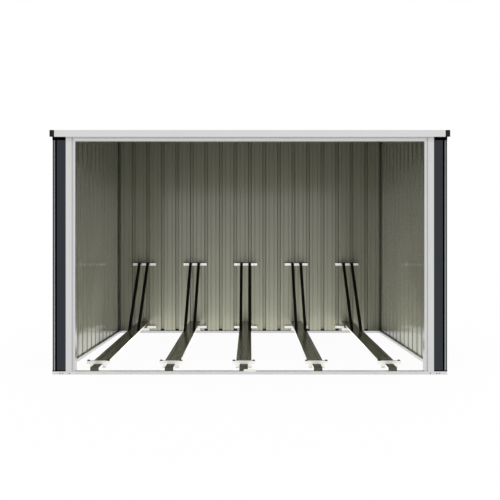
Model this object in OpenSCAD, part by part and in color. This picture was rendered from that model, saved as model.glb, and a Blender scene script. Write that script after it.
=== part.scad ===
// Bike shelter with an open front: ribbed steel walls and a mono-pitch roof on a
// base frame, with a row of five sloping wheel rails and paired wheel guides.
// Millimetres, +Z up, the open front towards -Y, the origin on the ground at
// the middle of the plan.

/* [Ribbed sheet] */
// Spacing of the ribs in the walls and the roof
rib_pitch = 137.5; // [125:0.5:150]
// Depth of a rib
rib_d = 20; // [15:1:25]
// Width of a rib across its mouth
rib_mouth = 34; // [30:1:44]
// Width of a rib across its crest
rib_crest = 22; // [17:1:26]
// Depth of the stiffening beads between two ribs
bead_d = 2.5; // [1.5:0.5:4]
// Width of a stiffening bead
bead_w = 9; // [7:1:14]
// Thickness of the sheet
sheet_t = 0.8; // [0.6:0.1:1.2]

/* [Plan and height] */
// Rib spacings along a side wall, in three equal sheets
side_bays = 15; // [12:3:21]
// Rib spacings across the back wall and the roof, in three equal sheets
back_bays = 18; // [15:3:24]
// Height of the top of the front fascia
front_h = 1555; // [1450:5:1750]
// Slope of the roof in degrees, rising to the back
roof_slope = 8; // [6:0.5:12]

/* [Base frame] */
// Height of the base rails
base_h = 20; // [15:1:30]
// Width of the base rails and depth of the front frame
base_w = 40; // [34:1:60]
// Wall of the base rails and of the front frame
tube_t = 2; // [1.5:0.5:3]

/* [Front frame] */
// Width of a front post
frame_w = 61; // [54:1:80]
// Width of the lip along the opening
lip_w = 9.5; // [6:0.5:12]
// Width of the groove beside the lip
groove_w = 13; // [9:1:16]
// Depth of the groove beside the lip
groove_d = 10; // [4:1:14]
// Height of the lintel that shows below the fascia
lintel_show = 24; // [20:1:32]
// Width of the keeper plate in the middle of the sill
keeper_w = 80; // [60:1:120]
// Height of the keeper plate above the sill
keeper_h = 14; // [12:1:20]
// Radius of the keeper plate's upper corners
keeper_r = 9; // [4:1:12]

/* [Corner trims] */
// Width of the flat face of a front corner trim
face_w = 56; // [40:1:90]
// Width of the slit between the flat face and the nose
slit_w = 12; // [8:0.5:14]
// Depth of that slit
slit_d = 12; // [10:0.5:13]
// Width of the nose at the outer edge
nose_w = 17; // [15:0.5:22]
// Width of the round bead along the nose's inner edge
nose_bead = 8.5; // [7:0.5:10]
// Distance of the nose's flat behind the front of its bead
nose_set = 2.5; // [1:0.5:3]
// Radius of the nose's outer edge
nose_r = 3.5; // [2:0.5:4]
// Wall of the liner in the slit
liner_t = 1.5; // [1:0.1:2]
// Height of the liner's head that shows below the fascia
head_show = 17; // [10:1:22]
// Height of the liner's foot
foot_h = 6; // [4:0.5:10]
// Length of a trim's leg along a wall
trim_leg = 45; // [30:1:70]
// Thickness of the trims
trim_t = 1; // [0.8:0.1:1.5]

/* [Roof edges] */
// Overhang of the roof at the front and at the back
roof_over = 30; // [24:1:60]
// Overhang of the verges beyond the corner trims
verge_over = 9.5; // [6:0.5:20]
// Width of a verge
verge_w = 29; // [24:1:50]
// Height of the fascia and of the verges
fascia_h = 43; // [36:1:60]
// Thickness of the fascia and of the verges
edge_t = 2; // [1.5:0.5:3]
// Depth of a corner cap
cap_d = 14; // [10:0.5:18]
// Height of the back of the gutter
gutter_back_h = 16; // [10:1:18]
// Width of the lip under a verge and under the rear edge
edge_lip = 7; // [5:0.5:8]

/* [Wheel rails] */
// Left wall to the middle of the first rail
first_rail = 243.5; // [170:0.5:300]
// Right wall to the middle of the last rail
last_rail = 323.5; // [170:0.5:400]
// Width of a rail
rail_w = 102; // [96:1:120]
// Width of the trough's floor
trough_w = 45; // [36:1:48]
// Depth of the trough
trough_d = 4; // [2:0.5:6]
// Width of the slope on each side of the trough
trough_slope_w = 3; // [2:0.5:6]
// Height of the lips turned down along a rail
rail_lip = 13; // [10:1:20]
// Thickness of a rail's sheet
rail_t = 2; // [1.5:0.5:3]
// Height of a rail's top at the front posts
rail_front_z = 46; // [42:1:48]
// Height of a rail's top at the back wall
rail_rear_z = 116; // [95:1:160]
// Width of the tongue at the front of a rail, and of the tab at its rear
tongue_w = 54; // [48:1:60]
// Distance of the tongue's foot behind the front
tongue_set = 14; // [13:1:20]

/* [Wheel stops] */
// Distance of a stop's face behind the front
stop_set = 118; // [90:1:160]
// Width of a stop
stop_w = 150; // [130:1:180]
// Depth of a stop's top
stop_d = 22; // [16:1:60]
// Height of the face above the tongue
stop_face = 20; // [12:1:24]
// Width over the two feet of a stop
stop_foot_w = 108; // [100:1:125]
// Height of the feet's lower edge above the ground
stop_low = 22; // [5:1:26]
// Width of the lip under a foot
stop_lip = 8; // [5:1:12]
// Thickness of a stop's sheet
stop_t = 2; // [1.5:0.5:3]

/* [Wheel guides] */
// Width of a guide bar
guide_w = 25; // [18:1:26]
// Depth of a guide bar
guide_d = 20; // [14:1:22]
// Thickness of a guide bar's sheet
guide_t = 2; // [1.5:0.5:3]
// Distance of the foot of the guides from the back wall
guide_reach = 600; // [450:5:700]
// Distance of the head of the guides from the back wall
guide_head = 75; // [60:1:120]
// Height of the guides' heads above the upper bracket
guide_over = 5; // [0:1:10]

/* [Wall brackets] */
// Width of a wall bracket
bracket_w = 217; // [150:1:260]
// Thickness of a wall bracket's sheet
bracket_t = 3; // [2:0.5:4]
// Width of the foot under a lower bracket
bracket_foot_w = 96; // [60:2:140]
// Height of the lower bracket's underside above the ground
lower_z = 45; // [30:1:55]
// Height of the lower bracket itself
lower_h = 22; // [18:1:30]
// Height of the upper bracket's underside above the ground
upper_z = 635; // [550:5:750]
// Height of the upper bracket itself
upper_h = 24; // [23:1:34]

/* [Hidden] */
// Colours
c_sheet = [0.44, 0.44, 0.39];
c_dark = [0.20, 0.22, 0.25];
c_silver = [0.82, 0.82, 0.81];
c_zinc = [0.88, 0.87, 0.84];
c_rail = [0.30, 0.29, 0.24];
c_guide = [0.07, 0.07, 0.06];
c_black = [0.04, 0.04, 0.04];

// Clearance between two pieces that seat on each other
seat = 0.3;
// Clearance between two lapped sheets
lap = 0.1;
// How far a sheet stops short of the edge of a crest that it laps
lap_trim = 2;
// Lapped sheets in a wall and in the roof
sheets = 3;
// Small step that keeps a piece clear of a bend or an edge
step = 1;
// Length of cutting bodies past what they cut
past = 50;

// Plan
side_len = side_bays * rib_pitch;
inner_w = back_bays * rib_pitch;
wall_d = rib_d + sheet_t;
x_out = inner_w / 2 + wall_d + seat + trim_t;
depth = side_len + wall_d + seat + trim_t;
y_front = -depth / 2;
y_back = depth / 2;
y_wall = y_front + side_len;

// Roof: the top edge of its trims, and the underside of its sheets
y_fascia = y_front - roof_over;
y_rear = y_back + roof_over;
roof_drop = (edge_t + seat + wall_d) / cos(roof_slope);
function roof_top(y) = front_h + (y - y_fascia) * tan(roof_slope);
function roof_under(y) = roof_top(y) - roof_drop;
verge_out = x_out + verge_over;
verge_in = verge_out - verge_w;
fascia_z = front_h - fascia_h;
y_eave = y_fascia + cap_d + step + wall_d * sin(roof_slope);
y_ridge = y_rear - cap_d - step;

// Front corners, and the front frame between them
nose_x = x_out - nose_w;
slit_x = nose_x - slit_w;
nose_d = nose_set + nose_r;
head_z = fascia_z - head_show;
post_out = slit_x - face_w;
face_x = post_out + seat;
post_in = post_out - frame_w;
lintel_top = roof_under(y_front) - seat;
lintel_low = fascia_z - lintel_show;
lintel_h = lintel_top - lintel_low;

// Rails: the middle of rail i, and the height of its top at a place along Y
RAILS = 5;
rail_pitch = (inner_w - first_rail - last_rail) / (RAILS - 1);
function rail_x(i) = first_rail - inner_w / 2 + (i - 1) * rail_pitch;
rail_slope = atan2(rail_rear_z - rail_front_z, side_len);
function rail_z(y) = rail_front_z + (y - y_front) * tan(rail_slope);
y_bracket = y_back - base_w + step;
y_rail_end = y_bracket - seat;
y_tongue = y_front + tongue_set;
y_stop = y_front + stop_set;
stop_face_z = rail_z(y_stop) - trough_d + step;
guide_z = upper_z + upper_h + guide_over;

RAIL_PIECES = ["rail", "stop", "guides", "brackets"];

// A box between its lowest and highest corners
module box(low, high) {
    translate(low) cube(high - low);
}

// An outline in (Y, Z), extruded along X
module along_x(x0, x1) {
    translate([x0, 0, 0]) rotate([90, 0, 90]) linear_extrude(x1 - x0) children();
}

// An outline in (X, Z), extruded along Y
module along_y(y0, y1) {
    translate([0, y1, 0]) rotate([90, 0, 0]) linear_extrude(y1 - y0) children();
}

// Pieces are drawn for the right side, and mirrored for the left
module on_left() {
    mirror([1, 0, 0]) children();
}

// A folded sheet: an open path, thickened by t to its left
function unit(v) = v / norm(v);
function left_of(v) = [-v[1], v[0]];
function fold_normal(path, i) = left_of(unit(path[i + 1] - path[i]));
function offset_point(path, i, t) =
    let (before = fold_normal(path, max(i - 1, 0)),
         after = fold_normal(path, min(i, len(path) - 2)))
    path[i] + t * (before + after) / (1 + before * after);
function folded(path, t) =
    concat(path, [for (i = [len(path) - 1:-1:0]) offset_point(path, i, t)]);

// A plate about the middle of its lower edge, with rounded upper corners
module rounded_top(w, h, r) {
    translate([-w / 2, 0]) square([w, h - r]);
    translate([r - w / 2, 0]) square([w - 2 * r, h]);
    intersection() {
        translate([-w / 2, 0]) square([w, h]);
        for (side = [-1, 1]) translate([side * (w / 2 - r), h - r]) circle(r, $fn = 48);
    }
}

// The front half or the outer front quarter of a bent sheet's edge, about its middle
module bent_edge(r, from_x) {
    intersection() {
        difference() {
            circle(r, $fn = 48);
            circle(r - trim_t, $fn = 48);
        }
        translate([from_x, -r]) square([r - from_x, r]);
    }
}

// A bar along the roof's slope, between two depths below the roof's top edge
module sloped_bar(x0, x1, y0, y1, from_top, to_low) {
    along_x(x0, x1)
        polygon([[y0, roof_top(y0) - to_low], [y1, roof_top(y1) - to_low],
                 [y1, roof_top(y1) - from_top], [y0, roof_top(y0) - from_top]]);
}

// All that is above the base rails and below the roof sheets
module under_roof() {
    y0 = y_front - past;
    y1 = y_back + past;
    along_x(-verge_out, verge_out)
        polygon([[y0, base_h], [y1, base_h], [y1, roof_under(y1) - seat], [y0, roof_under(y0) - seat]]);
}

// Ribbed sheets

function rib_path(u) = [[u - rib_mouth / 2, 0], [u - rib_crest / 2, rib_d],
                        [u + rib_crest / 2, rib_d], [u + rib_mouth / 2, 0]];
function bead_path(u) = [[u - bead_w / 2, 0], [u - bead_w / 6, bead_d],
                         [u + bead_w / 6, bead_d], [u + bead_w / 2, 0]];
function bay_path(u) = concat(bead_path(u + rib_pitch / 3), bead_path(u + 2 * rib_pitch / 3));

// Inner face of a sheet, from the crest of its first rib to the crest of its last
function sheet_path(bays, first_d, end_short) =
    let (w = bays * rib_pitch)
    concat(
        [[lap_trim - rib_crest / 2, first_d], [rib_crest / 2, first_d], [rib_mouth / 2, 0]],
        [for (k = [0:bays - 1])
            each concat(bay_path(k * rib_pitch), k < bays - 1 ? rib_path((k + 1) * rib_pitch) : [])],
        [[w - rib_mouth / 2, 0], [w - rib_crest / 2, rib_d], [w + rib_crest / 2 - end_short, rib_d]]);

// Outline of a run of sheets along +X, each lapped over the last rib of the one before
module sheet_run(run_bays, end_short = lap_trim) {
    bays = run_bays / sheets;
    for (k = [0:sheets - 1]) {
        first_d = k == 0 ? rib_d : rib_d + sheet_t + lap;
        short = k == sheets - 1 ? end_short : lap_trim;
        translate([k * bays * rib_pitch, 0])
            polygon(folded(sheet_path(bays, first_d, short), sheet_t));
    }
}

module wall_run(run_bays, end_short = lap_trim) {
    linear_extrude(roof_top(y_rear)) sheet_run(run_bays, end_short);
}

// A side wall runs from the back corner to the nose of the front corner trim
module side_wall() {
    color(c_sheet) intersection() {
        translate([inner_w / 2, y_wall, 0])
            rotate([0, 0, -90]) wall_run(side_bays, rib_crest / 2 + nose_d + step);
        under_roof();
    }
}

module back_wall() {
    color(c_sheet) intersection() {
        translate([-inner_w / 2, y_wall, 0]) wall_run(back_bays);
        under_roof();
    }
}

module roof_sheets() {
    run = 1 / cos(roof_slope);
    color(c_sheet)
        translate([-inner_w / 2, y_fascia, front_h - roof_drop])
            rotate([roof_slope, 0, 0])
                along_y((y_eave - y_fascia) * run, (y_ridge - y_fascia) * run) sheet_run(back_bays);
}

// Base frame: four tubes, mitred at the corners

module mitred_plan(half, from_edge, to_edge) {
    polygon([[from_edge - half, from_edge], [half - from_edge, from_edge],
             [half - to_edge, to_edge], [to_edge - half, to_edge]]);
}

module base_tube(half) {
    color(c_silver) difference() {
        linear_extrude(base_h) mitred_plan(half, 0, base_w);
        translate([0, 0, tube_t])
            linear_extrude(base_h - 2 * tube_t) mitred_plan(half + past, tube_t, base_w - tube_t);
    }
}

module base_sill() {
    translate([0, y_front, 0]) base_tube(x_out);
}

module base_back() {
    translate([0, y_back, 0]) rotate([0, 0, 180]) base_tube(x_out);
}

module base_side() {
    translate([x_out, 0, 0]) rotate([0, 0, 90]) base_tube(depth / 2);
}

// Front frame: a hollow profile with a grooved lip along the opening

module frame_profile(w) {
    difference() {
        square([w, base_w]);
        translate([lip_w, -past]) square([groove_w, groove_d + past]);
        difference() {
            translate([tube_t, tube_t]) square([w - 2 * tube_t, base_w - 2 * tube_t]);
            translate([lip_w - tube_t, 0]) square([groove_w + 2 * tube_t, groove_d + tube_t]);
        }
    }
}

// The far side of the mitre between the right post and the lintel
module mitre_cut(corner) {
    along_y(y_front - past, y_front + base_w + past)
        polygon([[post_in - past, lintel_low - past],
                 [post_in + lintel_h + past, lintel_top + past], corner]);
}

module post() {
    color(c_silver) difference() {
        translate([post_in, y_front, base_h])
            linear_extrude(lintel_top - base_h) frame_profile(frame_w);
        mitre_cut([post_in - past, lintel_top + past]);
    }
}

module lintel() {
    color(c_silver) difference() {
        along_x(-post_out, post_out)
            translate([y_front, lintel_low]) mirror([1, -1, 0]) frame_profile(lintel_h);
        mitre_cut([post_in + lintel_h + past, lintel_low - past]);
        on_left() mitre_cut([post_in + lintel_h + past, lintel_low - past]);
    }
}

// An angle on the sill that stands in front of the rails' tongues
module sill_keeper() {
    y0 = y_front + tube_t;
    y1 = y_tongue - rail_t - step;
    color(c_zinc) {
        box([-keeper_w / 2, y0, base_h], [keeper_w / 2, y1, base_h + tube_t]);
        along_y(y0, y0 + tube_t) translate([0, base_h]) rounded_top(keeper_w, keeper_h, keeper_r);
    }
}

// Corner trims

// A flat face beside the post, a slit, and a nose with a bead that turns along the wall
module front_corner_plan() {
    bead_r = nose_bead / 2;
    bead_x = nose_x + nose_bead - trim_t;
    translate([face_x, 0]) square([trim_t, base_w]);
    translate([face_x, 0]) square([slit_x - face_x, trim_t]);
    translate([slit_x - trim_t, 0]) square([trim_t, slit_d]);
    translate([slit_x - trim_t, slit_d - trim_t]) square([slit_w + 2 * trim_t, trim_t]);
    translate([nose_x, bead_r]) square([trim_t, slit_d - bead_r]);
    translate([nose_x + bead_r, bead_r]) bent_edge(bead_r, -bead_r);
    translate([bead_x, nose_set]) square([x_out - nose_r - bead_x, trim_t]);
    translate([x_out - nose_r, nose_d]) bent_edge(nose_r, 0);
    translate([x_out - trim_t, nose_d]) square([trim_t, trim_leg - nose_d]);
}

// The places of a liner's foot and head, which the trim leaves free by a gap
module liner_ends(gap) {
    for (level = [[0, base_h + foot_h + gap], [head_z - gap, roof_top(y_rear)]])
        translate([0, y_front, level[0]]) linear_extrude(level[1] - level[0]) {
            translate([face_x, 0]) square([nose_x - face_x, slit_d]);
            translate([nose_x, 0]) square([nose_w, nose_d]);
        }
}

module front_corner() {
    color(c_dark) intersection() {
        difference() {
            translate([0, y_front, 0]) linear_extrude(roof_top(y_rear)) front_corner_plan();
            liner_ends(seat);
        }
        under_roof();
    }
}

// A black strip that lines the slit, with a foot on the base and a head under the roof
module corner_liner() {
    y0 = y_front + step;
    y1 = y_front + slit_d - trim_t - seat;
    x0 = slit_x + seat;
    x1 = nose_x - seat;
    color(c_black) intersection() {
        union() {
            liner_ends(0);
            box([x0, y1 - liner_t, base_h], [x1, y1, head_z + step]);
            box([x0, y0, base_h], [x0 + liner_t, y1, head_z + step]);
            box([x1 - liner_t, y0, base_h], [x1, y1, head_z + step]);
        }
        under_roof();
    }
}

module rear_corner() {
    color(c_dark) intersection() {
        union() {
            box([x_out - trim_leg, y_back - trim_t, 0], [x_out, y_back, roof_top(y_rear)]);
            box([x_out - trim_t, y_back - trim_leg, 0], [x_out, y_back, roof_top(y_rear)]);
        }
        under_roof();
    }
}

// Roof edges

module gutter() {
    half = verge_in - seat;
    color(c_silver) {
        box([-half, y_fascia, fascia_z], [half, y_fascia + edge_t, front_h]);
        box([-half, y_fascia, fascia_z], [half, y_front, fascia_z + edge_t]);
        box([-half, y_front - edge_t, fascia_z], [half, y_front, fascia_z + gutter_back_h]);
    }
}

module verge() {
    y0 = y_fascia + cap_d + seat;
    y1 = y_rear - cap_d - seat;
    color(c_silver) {
        sloped_bar(verge_in, verge_out, y0, y1, 0, edge_t);
        sloped_bar(verge_out - edge_t, verge_out, y0, y1, 0, fascia_h);
        sloped_bar(verge_out - edge_lip, verge_out, y0, y1, fascia_h - edge_t, fascia_h);
    }
}

module rear_edge() {
    half = verge_in - seat;
    color(c_silver) {
        sloped_bar(-half, half, y_rear - roof_over, y_rear, 0, edge_t);
        sloped_bar(-half, half, y_rear - edge_t, y_rear, 0, fascia_h);
        sloped_bar(-half, half, y_rear - edge_lip, y_rear, fascia_h - edge_t, fascia_h);
    }
}

// The front cap has a heel that closes the end of the gutter
module cap_front() {
    color(c_black) {
        sloped_bar(verge_in, verge_out, y_fascia, y_fascia + cap_d, 0, fascia_h);
        box([verge_in, y_fascia + cap_d / 2, fascia_z + edge_t],
            [verge_in + cap_d / 2, y_front - seat, fascia_z + gutter_back_h]);
    }
}

module cap_rear() {
    color(c_black) sloped_bar(verge_in, verge_out, y_rear - cap_d, y_rear, 0, fascia_h);
}

// Wheel racks, drawn about the middle of a rail

module rail() {
    half = rail_w / 2;
    floor_x = trough_w / 2;
    rim_x = floor_x + trough_slope_w;
    section = [[-half, -rail_lip], [-half, 0], [-rim_x, 0], [-floor_x, -trough_d],
               [floor_x, -trough_d], [rim_x, 0], [half, 0], [half, -rail_lip]];
    run = 1 / cos(rail_slope);
    v_foot = (tongue_set - rail_t) * run;
    v_start = (stop_set + stop_t + seat) * run;
    v_end = (y_rail_end - step - y_front) * run;
    floor_low = -trough_d - rail_t;
    color(c_rail) {
        translate([0, y_front, rail_front_z]) rotate([rail_slope, 0, 0]) {
            along_y(v_start, v_end) polygon(folded(section, -rail_t));
            box([-tongue_w / 2, v_foot, floor_low], [tongue_w / 2, v_start + stop_t, -trough_d]);
            box([-tongue_w / 2, v_end - rail_t, floor_low], [tongue_w / 2, v_end + step, -trough_d]);
        }
        box([-tongue_w / 2, y_tongue - rail_t, base_h],
            [tongue_w / 2, y_tongue, rail_z(y_tongue) - trough_d - rail_t / 2]);
        box([-tongue_w / 2, y_rail_end - rail_t, lower_z + step],
            [tongue_w / 2, y_rail_end, rail_z(y_rail_end) - trough_d - rail_t / 2]);
    }
}

module stop() {
    top = stop_face_z + stop_face;
    inner = tongue_w / 2 + step;
    outer = stop_foot_w / 2;
    color(c_zinc) {
        box([-stop_w / 2, y_stop, top - stop_t], [stop_w / 2, y_stop + stop_d, top]);
        box([-stop_w / 2, y_stop, stop_face_z], [stop_w / 2, y_stop + stop_t, top]);
        for (side = [0, 1]) mirror([side, 0, 0]) {
            box([inner, y_stop, stop_low], [outer, y_stop + stop_t, top]);
            box([inner, y_stop - stop_lip, stop_low], [outer, y_stop + stop_t, stop_low + stop_t]);
        }
    }
}

// A channel that leans from the rail to the upper bracket and ends level on it
module guide() {
    foot = [y_wall - guide_reach, rail_z(y_wall - guide_reach)];
    head = [y_wall - guide_head, guide_z];
    path = [foot - past * unit(head - foot), head, [y_rail_end, guide_z]];
    x1 = rail_w / 2;
    x0 = x1 - guide_w;
    difference() {
        union() {
            along_x(x0, x1) polygon(folded(path, -guide_t));
            along_x(x0, x0 + guide_t) polygon(folded(path, -guide_d));
            along_x(x1 - guide_t, x1) polygon(folded(path, -guide_d));
        }
        along_x(-rail_w, rail_w)
            polygon([[y_front, rail_z(y_front)], [y_wall, rail_z(y_wall)],
                     [y_wall, -past], [y_front, -past]]);
    }
}

module guides() {
    color(c_guide) {
        guide();
        on_left() guide();
    }
}

// An angle whose upper leg reaches back to the wall
module bracket(low, high) {
    half = bracket_w / 2;
    box([-half, y_bracket, low], [half, y_bracket + bracket_t, high]);
    box([-half, y_bracket, high - bracket_t], [half, y_wall, high]);
}

// The lower bracket has a foot on the base rail
module brackets() {
    half = bracket_foot_w / 2;
    color(c_zinc) {
        bracket(lower_z, lower_z + lower_h);
        box([-half, y_bracket, base_h], [half, y_bracket + bracket_t, lower_z + step]);
        bracket(upper_z, upper_z + upper_h);
    }
}

base_sill();
on_left() base_side();  // base_left
base_side();  // base_right
base_back();
on_left() post();  // post_left
post();  // post_right
lintel();
sill_keeper();
on_left() side_wall();  // left_wall
side_wall();  // right_wall
back_wall();
on_left() front_corner();  // front_corner_left
front_corner();  // front_corner_right
on_left() rear_corner();  // rear_corner_left
rear_corner();  // rear_corner_right
on_left() corner_liner();  // corner_liner_left
corner_liner();  // corner_liner_right
roof_sheets();
gutter();
on_left() verge();  // verge_left
verge();  // verge_right
rear_edge();
on_left() cap_front();  // cap_front_left
cap_front();  // cap_front_right
on_left() cap_rear();  // cap_rear_left
cap_rear();  // cap_rear_right
for (i = [1:RAILS]) translate([rail_x(i), 0, 0]) {
    rail();
    stop();
    guides();
    brackets();
}
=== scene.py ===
"""Looks of the bike shelter: finishes, fasteners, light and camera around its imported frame. Metres."""

import math
from functools import reduce

import bmesh
import bpy
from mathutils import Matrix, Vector


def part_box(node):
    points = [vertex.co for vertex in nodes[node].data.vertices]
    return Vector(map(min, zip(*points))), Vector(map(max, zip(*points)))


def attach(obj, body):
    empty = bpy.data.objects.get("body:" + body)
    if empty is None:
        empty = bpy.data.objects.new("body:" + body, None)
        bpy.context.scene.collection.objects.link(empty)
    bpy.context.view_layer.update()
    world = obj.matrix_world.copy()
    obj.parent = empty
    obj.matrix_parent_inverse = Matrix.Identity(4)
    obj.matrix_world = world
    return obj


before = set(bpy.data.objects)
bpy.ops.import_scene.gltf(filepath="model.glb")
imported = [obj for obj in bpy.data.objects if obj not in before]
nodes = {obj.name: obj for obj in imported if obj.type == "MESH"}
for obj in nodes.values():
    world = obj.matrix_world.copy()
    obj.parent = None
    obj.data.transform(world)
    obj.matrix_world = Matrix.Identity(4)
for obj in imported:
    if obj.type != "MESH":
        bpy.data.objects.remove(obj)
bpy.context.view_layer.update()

BODY = "root"
RACKS = range(1, 6)
LEFT, RIGHT = -1, 1
X, Y, Z = Vector((1, 0, 0)), Vector((0, 1, 0)), Vector((0, 0, 1))

# Front frame: its face, and the height at which the roof's edge hides it
FRAME_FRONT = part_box("post_right")[0].y
FRAME_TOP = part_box("gutter")[0].z

# Ribbed sheet, as in the construction
RIB_PITCH = 0.1375
RIB_DEPTH = 0.020
RIB_MOUTH = 0.034
RIB_CREST = 0.022
BACK_BAYS = 18
SIDE_BAYS = 15
SHEETS = 3
ROOF_SLOPE = math.radians(8)

# Wheel rails: the middle of the first, the distance to the next, and half a rail's width
rail_low, rail_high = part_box("rack_1_rail")
RAIL_X = (rail_low.x + rail_high.x) / 2
RAIL_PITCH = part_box("rack_2_rail")[0].x - rail_low.x
RAIL_HALF = (rail_high.x - rail_low.x) / 2

# Colours, linear
OLIVE_COAT = (0.1975, 0.1995, 0.1465)
ANTHRACITE = (0.0115, 0.0158, 0.0242)
# Painted highlight on the beads of the front trims
NOSE_HIGHLIGHT = (0.300, 0.320, 0.336)
SILVER = (0.68, 0.68, 0.68)
FRAME_SILVER = (0.655, 0.655, 0.655)
MILL_SILVER = (0.75, 0.75, 0.745)
BASE_SILVER = (0.90, 0.90, 0.895)
CREAM_ZINC = (0.975, 0.965, 0.915)
PALE_ZINC = (0.97, 0.965, 0.91)
DULL_ZINC = (0.80, 0.79, 0.74)
RAIL_COAT = (0.090, 0.085, 0.059)
# Tops of the rails, lighter as painted light
RAIL_LIT_TOP = (0.165, 0.156, 0.108)
GUIDE_BLACK = (0.0045, 0.0040, 0.0022)
CAP_BLACK = (0.008, 0.008, 0.008)
RUBBER_BLACK = (0.0006, 0.0006, 0.0006)
FLEECE_GREY = (0.045, 0.045, 0.042)
STEEL = (0.56, 0.56, 0.55)
FLOOR_WHITE = (0.90, 0.90, 0.90)
WHITE = (1, 1, 1)

# Sheet: its clear coat inside, and how much of the painted shade on a rib's flank shows at each slant
CLEAR_COAT = 0.4
FLANK_SHARES = [(0.30, 0.0), (0.64, 0.25), (0.95, 1.0)]

# Paint: scales of its grain and patches, and the height of the grain
PAINT_GRAIN = 1400.0
PAINT_PATCHES = 5.0
GRAIN_HEIGHT = 0.00004

# Nose of the front corner trims: the painted highlight strip on its bead, and the height over which painted
# reflection of the floor makes it lighter toward the foot
NOSE_BEAD_IN = 0.01345
NOSE_BEAD_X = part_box("front_corner_right")[1].x - NOSE_BEAD_IN
NOSE_BEAD_HALF = 0.0036
NOSE_REFLECTION_TOP = 1.5

# Rails: behind this place their tops are lighter as painted light and glossier as wear, bare zinc sides take
# the coat's colour toward the rear, and painted shade lies in the folds from the middle of a rail to its edge
STOP_COVER = 0.0103
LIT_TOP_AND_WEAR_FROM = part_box("rack_1_stop")[0].y + STOP_COVER
WORN_GLOSS = 0.38
BARE_TO = 0.58
COATED_FROM = 0.74
SQUARE_ON = 0.9
RAIL_FOLD_SHADE = [(0.0, 1.0), (0.40, 1.0), (0.44, 0.45), (0.50, 0.45), (0.54, 1.0), (0.88, 1.0), (0.95, 0.4)]

# Front frame: the depths between which its groove lies with a painted tone, and the painted shadow below the
# roof's edge
GROOVE_FROM = 0.002
GROOVE_TO = 0.008
EDGE_REACH = 0.036
EDGE_SHADE = 0.80

# Extruded metal: the axis of its die lines, and noise along and across them
ALONG_X, ALONG_Y, ALONG_Z = range(3)
ALONG_LINES = 1.5
ACROSS_LINES = 260.0

# Zinc: the heights between which its painted shade low down fades to its full colour
FULL_SHADE_BELOW = 0.05
NO_SHADE_ABOVE = 0.5


# Shader helpers

def add(tree, kind, inputs=None, **properties):
    """A shader node, with its properties and with inputs that are values or output sockets."""
    made = tree.nodes.new(kind)
    for name, value in properties.items():
        setattr(made, name, value)
    for name, value in (inputs or {}).items():
        if isinstance(value, bpy.types.NodeSocket):
            tree.links.new(value, made.inputs[name])
        else:
            made.inputs[name].default_value = value
    return made


def new_material(name):
    """An empty node material, its tree and its output node."""
    material = bpy.data.materials.new(name)
    material.use_nodes = True
    material.node_tree.nodes.clear()
    output = material.node_tree.nodes.new("ShaderNodeOutputMaterial")
    return material, material.node_tree, output


def rgba(colour):
    """A colour with full alpha; a socket stays as it is."""
    return colour if isinstance(colour, bpy.types.NodeSocket) else (*colour, 1.0)


def calculate(tree, operation, *values):
    """The result of a math node on values or sockets."""
    return add(tree, "ShaderNodeMath", dict(enumerate(values)), operation=operation).outputs[0]


def position(tree):
    """The shaded point's x, y and z in the object's own metres."""
    place = add(tree, "ShaderNodeTexCoord").outputs["Object"]
    return add(tree, "ShaderNodeSeparateXYZ", {"Vector": place}).outputs


def facing(tree, direction):
    """How squarely the surface faces a direction, from -1 to 1."""
    normal = add(tree, "ShaderNodeNewGeometry").outputs["Normal"]
    made = add(tree, "ShaderNodeVectorMath", {0: normal, 1: direction}, operation="DOT_PRODUCT")
    return made.outputs["Value"]


def noise(tree, scale, detail=2.0, stretch=(1, 1, 1)):
    """Noise in the object's own metres, stretched by a scale per axis."""
    place = add(tree, "ShaderNodeTexCoord").outputs["Object"]
    mapped = add(tree, "ShaderNodeMapping", {"Vector": place, "Scale": stretch})
    made = add(tree, "ShaderNodeTexNoise", {"Vector": mapped.outputs[0], "Scale": scale, "Detail": detail})
    return made.outputs["Fac"]


def paint_grain(tree):
    """The fine grain of a painted surface."""
    return noise(tree, PAINT_GRAIN, detail=3.0)


def spread(tree, value, low, high, start=0.0, end=1.0):
    """A value between start and end, mapped to a range and kept within it."""
    made = add(tree, "ShaderNodeMapRange", {
        "Value": value, "From Min": start, "From Max": end, "To Min": low, "To Max": high})
    return made.outputs["Result"]


def toned(tree, colour, value):
    """A colour, lighter or darker by a value."""
    return add(tree, "ShaderNodeHueSaturation", {"Color": rgba(colour), "Value": value}).outputs[0]


def shaded(tree, colour, value, amount):
    """A colour, darker and lighter by a share as a value runs from 0 to 1."""
    return toned(tree, colour, spread(tree, value, 1 - amount, 1 + amount))


def mixed(tree, share, first, second, kind="RGBA", blend="MIX"):
    """Two colours or numbers, mixed by a share."""
    made = add(tree, "ShaderNodeMix", {"Factor": share, "A": first, "B": second},
               data_type=kind, blend_type=blend)
    return made.outputs["Result"]


def ramp(tree, value, stops):
    """A grey value read off a ramp, given as (place, value) stops."""
    made = add(tree, "ShaderNodeValToRGB", {"Fac": value})
    elements = made.color_ramp.elements
    while len(elements) < len(stops):
        elements.new(0.5)
    for element, (place, grey) in zip(elements, stops):
        element.position = place
        element.color = (grey, grey, grey, 1)
    return made.outputs["Color"]


def bump(tree, height, distance, strength=1.0):
    """A normal bent by a height from 0 to 1 over a distance."""
    made = add(tree, "ShaderNodeBump", {"Height": height, "Distance": distance, "Strength": strength})
    return made.outputs[0]


def finish_with(tree, output, **inputs):
    """A Principled shader on the output; keyword names are its sockets with _ for a space."""
    named = {name.replace("_", " "): value for name, value in inputs.items()}
    shader = add(tree, "ShaderNodeBsdfPrincipled", named)
    tree.links.new(shader.outputs[0], output.inputs["Surface"])


# Materials

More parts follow.
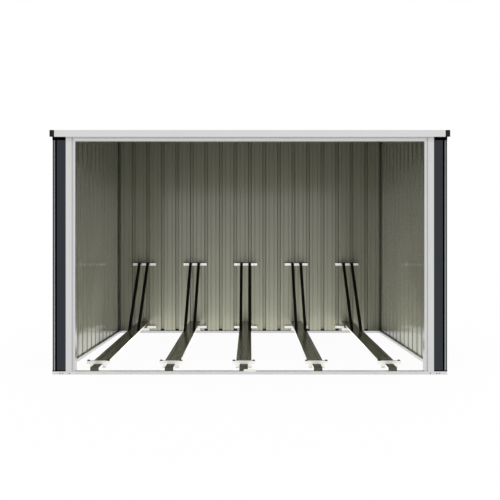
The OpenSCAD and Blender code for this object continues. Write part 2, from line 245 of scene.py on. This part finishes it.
def coated_sheet(name, outward, sideways, flank_shade, inner=OLIVE_COAT, inner_rough=(0.10, 0.17)):
    """Coil-coated sheet: anthracite outside, olive or a lining inside, with painted shade on the flanks of
    its ribs.
    """
    material, tree, output = new_material(name)
    slant = calculate(tree, "ABSOLUTE", facing(tree, sideways))
    # Painted shade: flanks that face sideways are darker
    flank = ramp(tree, slant, [(place, 1 - share * (1 - flank_shade)) for place, share in FLANK_SHARES])
    weather = calculate(tree, "GREATER_THAN", facing(tree, outward), 0.0)
    streaks = noise(tree, scale=3.0, stretch=(6, 6, 0.5))
    grain = noise(tree, scale=900.0)
    waves = noise(tree, scale=2.2, detail=1.0)
    inside = mixed(tree, 1.0, shaded(tree, inner, streaks, amount=0.05), flank, blend="MULTIPLY")
    outside = shaded(tree, ANTHRACITE, streaks, amount=0.10)
    rough_inside = spread(tree, streaks, *inner_rough)
    rough_outside = spread(tree, grain, low=0.34, high=0.46)
    finish_with(tree, output,
                Base_Color=mixed(tree, weather, inside, outside),
                Roughness=mixed(tree, weather, rough_inside, rough_outside, kind="FLOAT"),
                Specular_IOR_Level=0.6,
                Coat_Weight=spread(tree, weather, CLEAR_COAT, 0.0),
                Coat_Roughness=inner_rough[0],
                Normal=bump(tree, waves, distance=0.0015, strength=0.03))
    return material


def powder_coat(name, colour, rough, specular):
    """Painted steel with a fine powder-coat grain."""
    material, tree, output = new_material(name)
    grain = paint_grain(tree)
    finish_with(tree, output,
                Base_Color=shaded(tree, colour, noise(tree, PAINT_PATCHES), amount=0.08),
                Roughness=spread(tree, grain, rough - 0.06, rough + 0.06),
                Specular_IOR_Level=specular,
                Normal=bump(tree, grain, GRAIN_HEIGHT))
    return material


def beaded_trim(name):
    """Anthracite trim with a painted highlight strip on the bead of its nose, lighter toward the foot as
    painted reflection of the floor.
    """
    material, tree, output = new_material(name)
    x, _, z = position(tree)
    on_bead = calculate(tree, "COMPARE", calculate(tree, "ABSOLUTE", x), NOSE_BEAD_X, NOSE_BEAD_HALF)
    # Painted highlight, lighter low down as painted reflection of the floor
    strip = toned(tree, NOSE_HIGHLIGHT, spread(tree, z, low=1.25, high=0.6, end=NOSE_REFLECTION_TOP))
    coat = shaded(tree, ANTHRACITE, noise(tree, PAINT_PATCHES), amount=0.08)
    grain = paint_grain(tree)
    finish_with(tree, output,
                Base_Color=mixed(tree, on_bead, coat, strip),
                Roughness=spread(tree, grain, low=0.30, high=0.42),
                Specular_IOR_Level=0.35,
                Normal=bump(tree, grain, GRAIN_HEIGHT))
    return material


def coated_rail(name):
    """A rail: a dark coat with painted light and wear on top, painted shade in its folds, and bare zinc sides
    except at the rear.
    """
    material, tree, output = new_material(name)
    x, y, _ = position(tree)
    upward = calculate(tree, "GREATER_THAN", facing(tree, Z), SQUARE_ON)
    behind = calculate(tree, "GREATER_THAN", y, LIT_TOP_AND_WEAR_FROM)
    # Painted light: upward faces behind the stop are lighter
    lit_top = calculate(tree, "MULTIPLY", upward, behind)
    paint = mixed(tree, lit_top, rgba(RAIL_COAT), rgba(RAIL_LIT_TOP))
    sideways = calculate(tree, "ABSOLUTE", facing(tree, X))
    turned_down = calculate(tree, "GREATER_THAN", sideways, SQUARE_ON)
    bare = spread(tree, y, low=1.0, high=0.0, start=BARE_TO, end=COATED_FROM)
    side = calculate(tree, "MULTIPLY", turned_down, bare)
    from_first = calculate(tree, "SUBTRACT", x, RAIL_X)
    from_middle = calculate(tree, "WRAP", from_first, RAIL_PITCH / 2, -RAIL_PITCH / 2)
    across = calculate(tree, "DIVIDE", calculate(tree, "ABSOLUTE", from_middle), RAIL_HALF)
    grain = paint_grain(tree)
    patches = noise(tree, PAINT_PATCHES)
    # Painted shade in the rail's folds
    coat = mixed(tree, 1.0, shaded(tree, paint, patches, amount=0.08), ramp(tree, across, RAIL_FOLD_SHADE),
                 blend="MULTIPLY")
    rough = spread(tree, grain, low=0.54, high=0.62)
    finish_with(tree, output,
                Base_Color=mixed(tree, side, coat, shaded(tree, DULL_ZINC, patches, amount=0.03)),
                Specular_IOR_Level=0.3,
                Roughness=calculate(tree, "MULTIPLY_ADD", behind, -WORN_GLOSS, rough),
                Normal=bump(tree, grain, GRAIN_HEIGHT))
    return material


def frame_shade(tree, in_groove):
    """Painted tone in the front frame's groove, shade where in_groove is below 1 and light above, and painted
    shadow toward the roof's edge above.
    """
    _, y, z = position(tree)
    # Painted shade and light in the groove, painted shadow under the roof's edge
    groove = spread(tree, y, low=1.0, high=in_groove,
                    start=FRAME_FRONT + GROOVE_FROM, end=FRAME_FRONT + GROOVE_TO)
    edge = spread(tree, z, low=1.0, high=EDGE_SHADE, start=FRAME_TOP - EDGE_REACH, end=FRAME_TOP)
    return calculate(tree, "MULTIPLY", groove, edge)


def extruded_metal(name, along, colour=SILVER, metallic=0.9, rough=(0.14, 0.24), in_groove=None):
    """Aluminium with faint die lines along one axis, and painted tone and shadow on the front frame when
    in_groove is given.
    """
    material, tree, output = new_material(name)
    if in_groove:
        colour = toned(tree, colour, frame_shade(tree, in_groove))
    stretch = [ALONG_LINES if axis == along else ACROSS_LINES for axis in range(3)]
    lines = noise(tree, scale=2.0, detail=3.0, stretch=stretch)
    finish_with(tree, output,
                Base_Color=shaded(tree, colour, noise(tree, scale=4.0), amount=0.025),
                Metallic=metallic,
                Roughness=spread(tree, lines, *rough),
                Normal=bump(tree, lines, distance=0.00003))
    return material


def zinc_plate(name, colour, metallic, rough, shade_low_down=1.0):
    """Galvanised steel with a faint spangle, and painted shade that can make it darker low down."""
    material, tree, output = new_material(name)
    _, _, z = position(tree)
    # Painted shade: darker toward the floor
    colour = toned(tree, colour, spread(tree, z, shade_low_down, 1.0, start=FULL_SHADE_BELOW, end=NO_SHADE_ABOVE))
    place = add(tree, "ShaderNodeTexCoord").outputs["Object"]
    cells = add(tree, "ShaderNodeTexVoronoi", {"Vector": place, "Scale": 130.0}).outputs["Color"]
    spangle = add(tree, "ShaderNodeSeparateColor", {"Color": cells}).outputs[0]
    finish_with(tree, output,
                Base_Color=shaded(tree, colour, spangle, amount=0.035),
                Metallic=metallic,
                Roughness=spread(tree, spangle, *rough),
                Normal=bump(tree, noise(tree, scale=500.0), distance=0.00003))
    return material


def moulded_plastic(name, colour, rough=0.50, specular=0.2):
    """Plastic or rubber with a fine moulded grain."""
    material, tree, output = new_material(name)
    grain = noise(tree, scale=1100.0)
    finish_with(tree, output,
                Base_Color=shaded(tree, colour, noise(tree, scale=30.0), amount=0.15),
                Roughness=spread(tree, grain, rough - 0.08, rough + 0.08),
                Specular_IOR_Level=specular,
                Normal=bump(tree, grain, distance=0.00006))
    return material


def bright_steel(name):
    """Bare steel with faint smudges."""
    material, tree, output = new_material(name)
    smudge = noise(tree, scale=220.0)
    finish_with(tree, output,
                Base_Color=shaded(tree, STEEL, smudge, amount=0.08),
                Metallic=1.0,
                Roughness=spread(tree, smudge, low=0.26, high=0.42))
    return material


sheet_left = coated_sheet("coated_sheet_left", -X, Y, flank_shade=0.74)
sheet_right = coated_sheet("coated_sheet_right", X, Y, flank_shade=0.74)
sheet_back = coated_sheet("coated_sheet_back", Y, X, flank_shade=0.52, inner_rough=(0.15, 0.22))
sheet_roof = coated_sheet("coated_sheet_roof", Z, X, flank_shade=1.0,
                          inner=FLEECE_GREY, inner_rough=(0.85, 0.95))
anthracite = powder_coat("anthracite_trim", ANTHRACITE, rough=0.36, specular=0.35)
front_trim = beaded_trim("front_trim")
rail_coat = coated_rail("rail_coat")
guide_coat = powder_coat("guide_coat", GUIDE_BLACK, rough=0.42, specular=0.3)
metal_x = extruded_metal("aluminium_along_x", ALONG_X)
metal_y = extruded_metal("aluminium_along_y", ALONG_Y)
frame_x = extruded_metal("frame_aluminium_along_x", ALONG_X, FRAME_SILVER, in_groove=1.15)
frame_z = extruded_metal("frame_aluminium_along_z", ALONG_Z, FRAME_SILVER, in_groove=0.91)
base_y = extruded_metal("base_aluminium_along_y", ALONG_Y, BASE_SILVER, metallic=0.5, rough=(0.25, 0.35))
mill_x = extruded_metal("mill_aluminium_along_x", ALONG_X, MILL_SILVER, metallic=0.12, rough=(0.42, 0.55))
zinc = zinc_plate("zinc_plate", CREAM_ZINC, metallic=0.30, rough=(0.36, 0.46), shade_low_down=0.53)
pale_zinc = zinc_plate("pale_zinc_plate", PALE_ZINC, metallic=0.2, rough=(0.45, 0.55))
cap_plastic = moulded_plastic("cap_plastic", CAP_BLACK)
rubber = moulded_plastic("black_rubber", RUBBER_BLACK, rough=0.9, specular=0.01)
steel = bright_steel("fastener_steel")


# Finishes of the frame's own pieces

TUBE_EDGE = 0.0006
PLATE_EDGE = 0.0007
CAP_EDGE = 0.0016
WELD_WITHIN = 0.00002
ROUND_ABOVE = math.radians(35)


def dress(names, material, edge=0.0):
    """A material on CAD nodes, and a small rounding of their edges."""
    for name in names:
        piece = nodes[name]
        piece.data.materials.clear()
        piece.data.materials.append(material)
        if edge:
            weld = piece.modifiers.new("weld", "WELD")
            weld.merge_threshold = WELD_WITHIN
            rounding = piece.modifiers.new("edges", "BEVEL")
            rounding.width = edge
            rounding.segments = 2
            rounding.limit_method = "ANGLE"
            rounding.angle_limit = ROUND_ABOVE


dress(["left_wall"], sheet_left)
dress(["right_wall"], sheet_right)
dress(["back_wall"], sheet_back)
dress(["roof_sheets"], sheet_roof)
dress(["front_corner_left", "front_corner_right"], front_trim)
dress(["rear_corner_left", "rear_corner_right"], anthracite)
dress(["base_sill"], mill_x, TUBE_EDGE)
dress(["base_left", "base_right"], base_y, TUBE_EDGE)
dress(["base_back", "gutter", "rear_edge"], metal_x, TUBE_EDGE)
dress(["lintel"], frame_x, TUBE_EDGE)
dress(["verge_left", "verge_right"], metal_y, TUBE_EDGE)
dress(["post_left", "post_right"], frame_z, TUBE_EDGE)
dress([f"cap_{end}_{side}" for end in ("front", "rear") for side in ("left", "right")], cap_plastic, CAP_EDGE)
dress(["corner_liner_left", "corner_liner_right"], rubber)
dress(["sill_keeper"], pale_zinc, PLATE_EDGE)
for i in RACKS:
    dress([f"rack_{i}_rail"], rail_coat, PLATE_EDGE)
    dress([f"rack_{i}_guides"], guide_coat, PLATE_EDGE)
    dress([f"rack_{i}_stop"], pale_zinc, PLATE_EDGE)
    dress([f"rack_{i}_brackets"], zinc, PLATE_EDGE)


# Shapes of fasteners, turned about +Z; a dome's rim, flat and recess are shares of its height or radius

ROUND_SIDES = 24
DOME_RIM = 0.25
DOME_FLAT = 0.12
RECESS_SHARE = 0.42
RECESS_LIP = 1.15
FLANGE_T = 0.0012
FLANGE_RIM = 0.0006


def turned(profile, sides=20):
    """A shape turned about Z from (radius, height) points, closed at both ends."""
    points = [(r * math.cos(2 * math.pi * k / sides), r * math.sin(2 * math.pi * k / sides), h)
              for r, h in profile for k in range(sides)]
    faces = [list(range(sides))[::-1], [len(points) - sides + k for k in range(sides)]]
    for ring in range(len(profile) - 1):
        for k in range(sides):
            a, b = ring * sides + k, ring * sides + (k + 1) % sides
            faces.append([a, b, b + sides, a + sides])
    return points, faces


def both(first, second):
    """Two shapes as one."""
    shift = len(first[0])
    return first[0] + second[0], first[1] + [[i + shift for i in face] for face in second[1]]


def dome(radius, height, steps=4):
    """Profile of a domed head with an upright rim and a small flat on top."""
    turns = [math.pi / 2 * k / steps for k in range(steps)]
    curve = [(radius * math.cos(t), height * (DOME_RIM + (1 - DOME_RIM) * math.sin(t))) for t in turns]
    return [(radius, 0.0)] + curve + [(radius * DOME_FLAT, height)]


def pan_screw(radius, height):
    """A pan head with a round recess."""
    recess = RECESS_SHARE * radius
    lip = RECESS_LIP * recess
    head = [(r, h) for r, h in dome(radius, height) if r > lip]
    inside = [(lip, height), (recess, 0.96 * height), (recess, 0.45 * height)]
    return turned(head + inside, ROUND_SIDES)


def chamfered(radius, top_radius, low, rim, high, sides=ROUND_SIDES):
    """A disc or prism that narrows above its rim."""
    return turned([(radius, low), (radius, rim), (top_radius, high)], sides)


def hex_screw(across, height, washer_radius, washer_height):
    """A hexagon head with a flange on a rubber washer."""
    flange_top = washer_height + FLANGE_T
    corner = across / math.sqrt(3)
    washer = chamfered(washer_radius, 0.8 * washer_radius, 0, 0.6 * washer_height, washer_height)
    flange = chamfered(0.72 * washer_radius, 0.6 * washer_radius,
                       washer_height, washer_height + FLANGE_RIM, flange_top)
    head = chamfered(corner, 0.84 * corner,
                     flange_top, flange_top + 0.85 * height, flange_top + height, sides=6)
    return both(washer, both(flange, head))


# Pieces of the scene, which ride on the body

SHARP_ABOVE = math.radians(38)


def smooth_by_angle(mesh):
    """Outward faces, and smooth shading that keeps the edges above an angle sharp."""
    shape = bmesh.new()
    shape.from_mesh(mesh)
    bmesh.ops.recalc_face_normals(shape, faces=shape.faces)
    for face in shape.faces:
        face.smooth = True
    for edge in shape.edges:
        edge.smooth = len(edge.link_faces) == 2 and edge.calc_face_angle() < SHARP_ABOVE
    shape.to_mesh(mesh)
    shape.free()


def riding(name, points, faces, material, slot):
    """A mesh of the scene that rides on the body."""
    mesh = bpy.data.meshes.new(name)
    mesh.from_pydata(points, [], faces)
    mesh.materials.append(material)
    piece = bpy.data.objects.new(name, mesh)
    bpy.context.scene.collection.objects.link(piece)
    smooth_by_angle(mesh)
    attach(piece, BODY)


def placed(name, shape, places, material, slot):
    """One joined mesh of a shape at places, each a point and the direction that the shape's +Z takes."""
    points, faces = [], []
    for point, direction in places:
        turn = direction.to_track_quat("Z", "Y").to_matrix()
        shift = len(points)
        points += [Vector(point) + turn @ Vector(p) for p in shape[0]]
        faces += [[i + shift for i in face] for face in shape[1]]
    riding(name, points, faces, material, slot)


def on_side(side, place):
    """A place given for the right, on the left or the right."""
    return Vector((side * place[0], place[1], place[2]))


def mirrored(points):
    """Points on the left, and the same on the right."""
    return [on_side(side, p) for side in (LEFT, RIGHT) for p in points]


def sideways_out(points):
    """Points as places whose direction is away from the middle."""
    return [(p, X if p.x > 0 else -X) for p in points]


def spaced(low, high, count):
    """Evenly spaced values, from low to high."""
    return [low + (high - low) * k / (count - 1) for k in range(count)]


def met(name, start, direction):
    """The point where a ray first meets a CAD node."""
    piece = nodes[name]
    back = piece.matrix_world.inverted()
    hit, point, _, _ = piece.ray_cast(back @ Vector(start), (back.to_3x3() @ direction).normalized())
    return piece.matrix_world @ point if hit else None


# Places that the fasteners and seals start from
SINK = 0.0003
post_low, post_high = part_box("post_right")
sill_low, sill_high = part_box("base_sill")
wall_low, wall_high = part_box("back_wall")
side_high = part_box("right_wall")[1]
roof_low, roof_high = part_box("roof_sheets")
trim_low, trim_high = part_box("front_corner_right")
rear_low, rear_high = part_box("rear_corner_right")
verge_low, verge_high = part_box("verge_right")
rear_edge_low, rear_edge_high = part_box("rear_edge")
base_top = sill_high.z
inner_x = BACK_BAYS * RIB_PITCH / 2
inner_y = wall_low.y
back_ribs = [-inner_x + RIB_PITCH * k for k in range(BACK_BAYS + 1)]
side_ribs = [inner_y - RIB_PITCH * k for k in range(SIDE_BAYS + 1)]
back_laps = back_ribs[BACK_BAYS // SHEETS:-1:BACK_BAYS // SHEETS]
side_laps = side_ribs[SIDE_BAYS // SHEETS:-1:SIDE_BAYS // SHEETS]

# Heads of fasteners: radius and height
POST_SCREW = (0.0036, 0.0020)
SILL_SCREW = (0.0034, 0.0018)
BRACKET_SCREW = (0.0042, 0.0022)
FOOT_BOLT = (0.0038, 0.0026)
BUFFER = (0.0098, 0.0075)
RIVET = (0.0042, 0.0015)
FLAT_RIVET = (0.0042, 0.0006)

# Screws in the face of the posts and of the sill
POST_SCREW_IN = 0.0245
POST_SCREW_Z = (0.827, 0.853, 1.365, 1.396)
SILL_SCREW_X = (1.1515, 1.1930, 1.2098)
SILL_SCREW_Z = 0.0075
post_screws = mirrored([(post_high.x - POST_SCREW_IN, post_low.y + SINK, z) for z in POST_SCREW_Z])
placed("post_screws", pan_screw(*POST_SCREW), [(p, -Y) for p in post_screws], steel, "zinc")
sill_screws = mirrored([(x, sill_low.y + SINK, SILL_SCREW_Z) for x in SILL_SCREW_X])
placed("sill_screws", pan_screw(*SILL_SCREW), [(p, -Y) for p in sill_screws], anthracite, "dark_trim")

# Screws of the wall brackets, rubber buffers on the stops' ends, and bolts in the stops' feet
BRACKET_SCREW_X = 0.0385
BRACKET_SCREW_Z = (0.056, 0.647)
BUFFER_X = 0.0645
BUFFER_BACK = 0.0115
FOOT_BOLT_X = 0.0425
FOOT_BOLT_IN = 0.0042
FOOT_T = 0.002
bracket_places, buffer_places, foot_places = [], [], []
for i in RACKS:
    low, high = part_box(f"rack_{i}_brackets")
    middle = (low.x + high.x) / 2
    for x in (middle - BRACKET_SCREW_X, middle + BRACKET_SCREW_X):
        bracket_places += [((x, low.y + SINK, z), -Y) for z in BRACKET_SCREW_Z]
    low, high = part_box(f"rack_{i}_stop")
    for side in (LEFT, RIGHT):
        buffer_places.append(((middle + side * BUFFER_X, high.y - BUFFER_BACK, high.z - SINK), Z))
        foot_places.append(((middle + side * FOOT_BOLT_X, low.y + FOOT_BOLT_IN, low.z + FOOT_T - SINK), Z))
placed("bracket_screws", pan_screw(*BRACKET_SCREW), bracket_places, zinc, "zinc")
placed("stop_buffers", turned(dome(*BUFFER)), buffer_places, rubber, "black_cap")
placed("foot_bolts", pan_screw(*FOOT_BOLT), foot_places, steel, "zinc")

# Rivets in the corner trims
TRIM_RIVETS = 6
TRIM_RIVET_END = 0.08
REAR_RIVET_TOP = 0.09
FRONT_RIVET_IN = 0.008
REAR_RIVET_IN = 0.018
front_z = spaced(trim_low.z + TRIM_RIVET_END, trim_high.z - TRIM_RIVET_END, TRIM_RIVETS)
rear_z = spaced(rear_low.z + TRIM_RIVET_END, rear_high.z - REAR_RIVET_TOP, TRIM_RIVETS)
front_rivets = mirrored([(trim_high.x - SINK, trim_high.y - FRONT_RIVET_IN, z) for z in front_z])
rear_side = mirrored([(rear_high.x - SINK, rear_low.y + REAR_RIVET_IN, z) for z in rear_z])
rear_back = mirrored([(rear_low.x + REAR_RIVET_IN, rear_high.y - SINK, z) for z in rear_z])
trim_places = sideways_out(front_rivets + rear_side) + [(p, Y) for p in rear_back]
placed("trim_rivets", turned(dome(*RIVET)), trim_places, anthracite, "dark_trim")

# Stitching rivets along the laps of the walls
STITCHES = 6
STITCH_LOW = 0.12
BACK_STITCH_TOP = 1.70
SIDE_STITCH_TOP = 1.50
back_z = spaced(STITCH_LOW, BACK_STITCH_TOP, STITCHES)
side_z = spaced(STITCH_LOW, SIDE_STITCH_TOP, STITCHES)
back_stitches = [((x, wall_high.y - SINK, z), Y) for x in back_laps for z in back_z]
side_stitches = mirrored([(side_high.x - SINK, y, z) for y in side_laps for z in side_z])
placed("wall_stitches", turned(dome(*RIVET)), back_stitches + sideways_out(side_stitches),
       anthracite, "ribbed_sheet")

# Roof screws on the ribs, and rivets in the roof's edges, each where a ray from afar meets the metal
AFAR = 3.0
ROOF_ROWS = 4
ROOF_ROW_FRONT = 0.32
ROOF_ROW_BACK = 0.10
EDGE_RIVETS = 5
EDGE_RIVET_END = 0.12
EDGE_RIVET_DOWN = 0.022
roof_normal = Vector((0, -math.sin(ROOF_SLOPE), math.cos(ROOF_SLOPE)))
bpy.context.view_layer.update()
roof_rows = spaced(roof_low.y + ROOF_ROW_FRONT, roof_high.y - ROOF_ROW_BACK, ROOF_ROWS)
roof_places = [met("roof_sheets", (x, y, AFAR), -Z) for x in back_ribs[1:-1] for y in roof_rows]
placed("roof_screws", hex_screw(across=0.008, height=0.0045, washer_radius=0.008, washer_height=0.0025),
       [(p - SINK * roof_normal, roof_normal) for p in roof_places if p], anthracite, "dark_trim")
edge_places = []
for y in spaced(verge_low.y + EDGE_RIVET_END, verge_high.y - EDGE_RIVET_END, EDGE_RIVETS):
    z = verge_high.z - EDGE_RIVET_DOWN - (verge_high.y - y) * math.tan(ROOF_SLOPE)
    edge_places += [(met("verge_right", (AFAR, y, z), -X), X), (met("verge_left", (-AFAR, y, z), X), -X)]
for x in spaced(rear_edge_low.x + EDGE_RIVET_END, rear_edge_high.x - EDGE_RIVET_END, EDGE_RIVETS):
    edge_places.append((met("rear_edge", (x, AFAR, rear_edge_high.z - EDGE_RIVET_DOWN), -Y), Y))
placed("edge_rivets", turned(dome(*FLAT_RIVET)), [(p - SINK * way, way) for p, way in edge_places if p],
       steel, "zinc")

# Seals: a strip in each rear corner, a gasket along the feet of the side walls and fillers in the ribs' feet;
# and on each upper bracket a dark strip that is painted shadow, standing for the shadow cast up the wall
SEAL_ON_BACK = 0.001
SEAL_ON_SIDE = 0.030
SEAL_TOP = 1.815
GASKET_T = 0.0015
GASKET_H = 0.0015
SHADOW_STRIP_T = 0.003
SHADOW_STRIP_H = 0.006
BACK_FILLER_H = 0.011
SIDE_FILLER_H = 0.002
FILLER_PLAY = 0.0004


def prism(plan, low, high):
    """Vertices and faces of a plan outline between two heights."""
    n = len(plan)
    points = [(x, y, z) for z in (low, high) for x, y in plan]
    faces = [list(range(n))[::-1], list(range(n, 2 * n))]
    faces += [[k, (k + 1) % n, n + (k + 1) % n, n + k] for k in range(n)]
    return points, faces


def oblong(x0, x1, y0, y1):
    """Plan of a rectangle."""
    return [(x0, y0), (x1, y0), (x1, y1), (x0, y1)]


def rib_plan():
    """Plan of a rib's inside: along the wall, and outward from its inner face."""
    half_crest = RIB_CREST / 2 - FILLER_PLAY
    depth = RIB_DEPTH - FILLER_PLAY
    return [(-RIB_MOUTH / 2, 0), (RIB_MOUTH / 2, 0), (half_crest, depth), (-half_crest, depth)]


seals_and_shadow_strips = []
seal_front = inner_y - SEAL_ON_SIDE
for side in (LEFT, RIGHT):
    wall_x = side * inner_x
    corner = [(wall_x, inner_y), (side * (inner_x - SEAL_ON_BACK), inner_y), (wall_x, seal_front)]
    gasket = oblong(wall_x, side * (inner_x - GASKET_T), trim_high.y, seal_front)
    seals_and_shadow_strips += [prism(corner, base_top, SEAL_TOP), prism(gasket, base_top, base_top + GASKET_H)]
    for y in side_ribs[1:-1]:
        filler = [(side * (inner_x + v), y + u) for u, v in rib_plan()]
        seals_and_shadow_strips.append(prism(filler, base_top, base_top + SIDE_FILLER_H))
for x in back_ribs[1:-1]:
    filler = [(x + u, inner_y + v) for u, v in rib_plan()]
    seals_and_shadow_strips.append(prism(filler, base_top, base_top + BACK_FILLER_H))
# Painted shadow: a dark strip on top of each upper bracket
for i in RACKS:
    low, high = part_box(f"rack_{i}_brackets")
    strip = oblong(low.x, high.x, high.y - SHADOW_STRIP_T, high.y)
    seals_and_shadow_strips.append(prism(strip, high.z - SINK, high.z + SHADOW_STRIP_H))
riding("seals_and_shadow_strips", *reduce(both, seals_and_shadow_strips), rubber, "black_cap")


# Light: softboxes beside the front, and lamps inside that stand for the light off the floor

SOFTBOX_SIZE = (0.8, 2.6)
SOFTBOX_POWER = 26.0
SOFTBOX_PLACE = (4.5, -0.95, 1.4)
SOFTBOX_TARGET = (1.25, -1.04, 0.9)
LAMP_OFF = 0.002
BOUNCE_X = inner_x - LAMP_OFF
BOUNCE_FRONT = -0.88
BOUNCE_MIDDLE = -0.40
BOUNCE_BACK = inner_y - LAMP_OFF
SIDE_BOUNCE_W = 0.40
SIDE_BOUNCE_BACK = 0.10
REAR_BOUNCE_X = 1.075
SIDE_BOUNCE_POWER = 7.4
FRONT_BOUNCE_POWER = 3.0
REAR_BOUNCE_POWER = 10.3
STOP_BOUNCE_SIZE = (2.2, 0.06)
STOP_BOUNCE_POWER = 0.42
STOP_BOUNCE_PLACE = Vector((0, -0.970, 0.004))


def lamp(name, size, power, place, target, glossy=True):
    """A rectangular lamp that the camera doesn't see."""
    light = bpy.data.lights.new(name, "AREA")
    light.shape = "RECTANGLE"
    light.size, light.size_y = size
    light.energy = power
    made = bpy.data.objects.new(name, light)
    made.location = place
    made.rotation_euler = (Vector(target) - Vector(place)).to_track_quat("-Z", "Y").to_euler()
    made.visible_camera = False
    made.visible_glossy = glossy
    bpy.context.scene.collection.objects.link(made)


def floor_lamp(name, x0, x1, y0, y1, power):
    """A lamp just above the base frame that shines up from a rectangle; its power is per square metre."""
    size = abs(x1 - x0), abs(y1 - y0)
    place = Vector(((x0 + x1) / 2, (y0 + y1) / 2, base_top + LAMP_OFF))
    lamp(name, size, power * size[0] * size[1], place, place + Z, glossy=False)


def studio_lamps():
    """All lamps of the scene."""
    for side in (LEFT, RIGHT):
        lamp(f"softbox_{side}", SOFTBOX_SIZE, SOFTBOX_POWER,
             on_side(side, SOFTBOX_PLACE), on_side(side, SOFTBOX_TARGET))
        floor_lamp(f"side_bounce_{side}", side * (inner_x - SIDE_BOUNCE_W), side * BOUNCE_X,
                   BOUNCE_FRONT, SIDE_BOUNCE_BACK, SIDE_BOUNCE_POWER)
    floor_lamp("front_bounce", -BOUNCE_X, BOUNCE_X, BOUNCE_FRONT, BOUNCE_MIDDLE, FRONT_BOUNCE_POWER)
    floor_lamp("rear_bounce", -REAR_BOUNCE_X, REAR_BOUNCE_X, BOUNCE_MIDDLE, BOUNCE_BACK, REAR_BOUNCE_POWER)
    lamp("stop_bounce", STOP_BOUNCE_SIZE, STOP_BOUNCE_POWER,
         STOP_BOUNCE_PLACE, STOP_BOUNCE_PLACE + Z, glossy=False)


# World and floor: both white, and the floor keeps the shadow

FLOOR_GLOW = 0.96
FLOOR_HALF = 30.0
FLOOR_DOWN = 0.0006


def white_world():
    """A plain white surrounding."""
    world = bpy.data.worlds.new("white_studio")
    bpy.context.scene.world = world
    world.use_nodes = True
    tree = world.node_tree
    tree.nodes.clear()
    sky = add(tree, "ShaderNodeBackground", {"Color": rgba(WHITE), "Strength": 1.0})
    output = add(tree, "ShaderNodeOutputWorld")
    tree.links.new(sky.outputs[0], output.inputs["Surface"])


def seen_directly(tree):
    """1 for rays that the camera, a gloss or a clear surface sends, and 0 for the light between surfaces."""
    path = add(tree, "ShaderNodeLightPath").outputs
    seen_or_gloss = calculate(tree, "MAXIMUM", path["Is Camera Ray"], path["Is Glossy Ray"])
    return calculate(tree, "MAXIMUM", seen_or_gloss, path["Is Transmission Ray"])


def white_floor():
    """A matte floor that glows white where it is seen, apart from a share that shows its shadow."""
    material, tree, output = new_material("floor_white")
    matte = add(tree, "ShaderNodeBsdfDiffuse", {"Color": rgba(FLOOR_WHITE)})
    glow = add(tree, "ShaderNodeEmission", {"Color": rgba(WHITE), "Strength": 1.0})
    share = spread(tree, seen_directly(tree), 0.0, FLOOR_GLOW)
    surface = add(tree, "ShaderNodeMixShader", {"Fac": share, 1: matte.outputs[0], 2: glow.outputs[0]})
    tree.links.new(surface.outputs[0], output.inputs["Surface"])
    mesh = bpy.data.meshes.new("floor")
    corners = oblong(-FLOOR_HALF, FLOOR_HALF, -FLOOR_HALF, FLOOR_HALF)
    mesh.from_pydata([(x, y, 0) for x, y in corners], [], [(0, 1, 2, 3)])
    mesh.materials.append(material)
    floor = bpy.data.objects.new("floor", mesh)
    floor.location.z = -FLOOR_DOWN
    bpy.context.scene.collection.objects.link(floor)


# The photograph's frame, in pixels: its side, focal length and vanishing point; and the eye before the posts
IMAGE = 500
FOCAL_PX = 670.0
VANISHING = (249.85, 246.0)
SENSOR = 36.0
EYE_AWAY = 4.273
EYE_HEIGHT = 0.820


def photo_camera():
    """A level camera that looks straight at the open front."""
    data = bpy.data.cameras.new("photo_camera")
    data.sensor_width = SENSOR
    data.lens = FOCAL_PX / IMAGE * SENSOR
    data.shift_x = (IMAGE / 2 - VANISHING[0]) / IMAGE
    data.shift_y = (VANISHING[1] - IMAGE / 2) / IMAGE
    camera = bpy.data.objects.new("photo_camera", data)
    camera.location = (0.0, post_low.y - EYE_AWAY, EYE_HEIGHT)
    camera.rotation_euler = (math.radians(90), 0, 0)
    bpy.context.scene.collection.objects.link(camera)
    bpy.context.scene.camera = camera


white_world()
white_floor()
photo_camera()
studio_lamps()

bpy.context.scene.view_settings.view_transform = "Standard"
